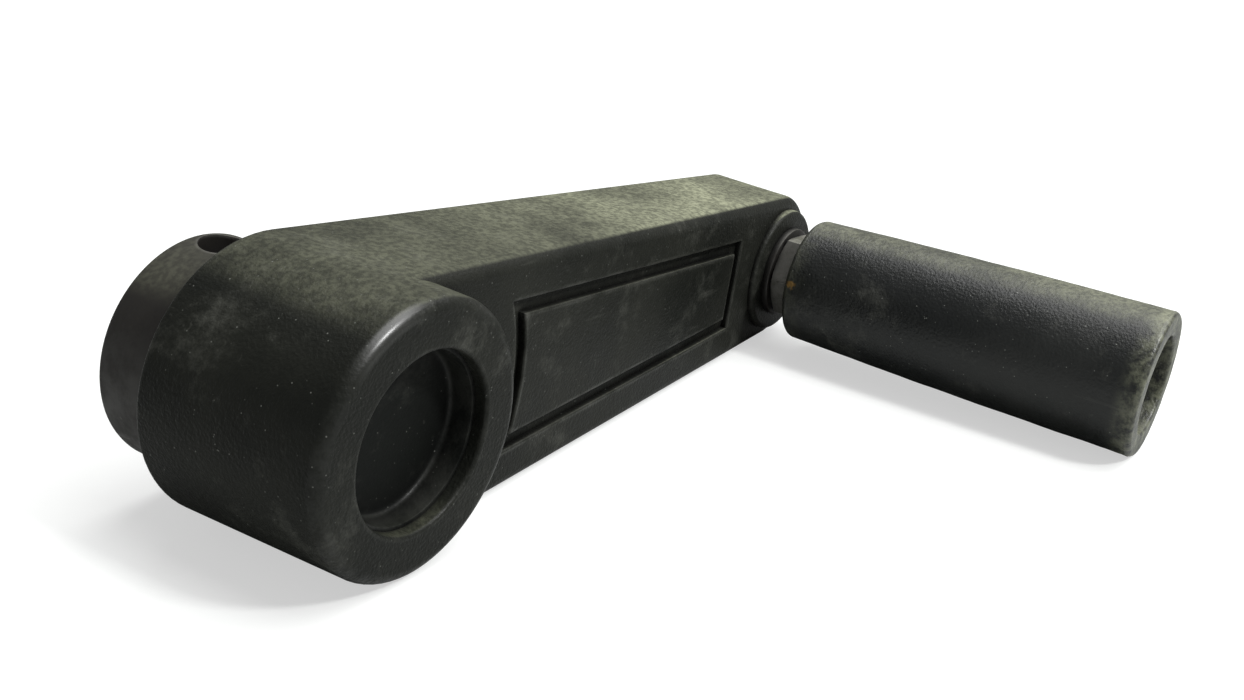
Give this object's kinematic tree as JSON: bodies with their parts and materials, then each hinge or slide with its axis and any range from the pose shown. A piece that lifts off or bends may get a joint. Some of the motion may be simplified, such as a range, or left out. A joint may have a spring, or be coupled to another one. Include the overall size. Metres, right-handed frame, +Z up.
{
  "type": "window crank operator",
  "caption": "Hand crank for a window winder: moulded arm with a panelled face, steel-lined hub with a clamping screw, and a revolving sleeve grip on a spindle.",
  "frame": {"origin": "centre of the shaft bore at the collar's back face", "axes": "+Y along the shaft bore, out of it towards the window operator; +X along the arm towards the grip; +Z up, the side of the clamping screw"},
  "size_m": [0.1608, 0.1079, 0.041],
  "materials": {
    "black_moulding": "fine textured glass-filled nylon, dusty and scuffed",
    "grip_moulding": "pebbled, dusty",
    "cap_moulding": "smooth matt",
    "blackened_steel": "oil-blackened, turned, worn",
    "bright_steel": "turned, scuffed and dull",
    "zinc_steel": "dull zinc plate",
    "bronze": "oily sintered bronze"
  },
  "bodies": {
    "crank": {"crank_arm": "black_moulding", "hub_insert": "blackened_steel", "cover_cap": "cap_moulding", "spindle": "bright_steel", "limiter_sleeve": "zinc_steel", "spindle_washer": "blackened_steel", "back_washer": "zinc_steel", "lock_washer": "zinc_steel", "spindle_nut": "zinc_steel", "end_washer": "zinc_steel", "retaining_ring": "blackened_steel"},
    "revolving_grip": {"grip": "grip_moulding", "inner_bush": "bronze", "outer_bush": "bronze"},
    "clamp_screw": {"set_screw": "blackened_steel"}
  },
  "joints": [
    {"name": "grip_spin", "type": "hinge", "parent": "crank", "child": "revolving_grip", "pos_m": [0.125, -0.073, 0], "axis": [0, 1, 0], "continuous": true},
    {"name": "set_screw_travel", "type": "slide", "parent": "crank", "child": "clamp_screw", "axis": [0, 0, -1], "range_m": [-0.003, 0.001]}
  ]
}
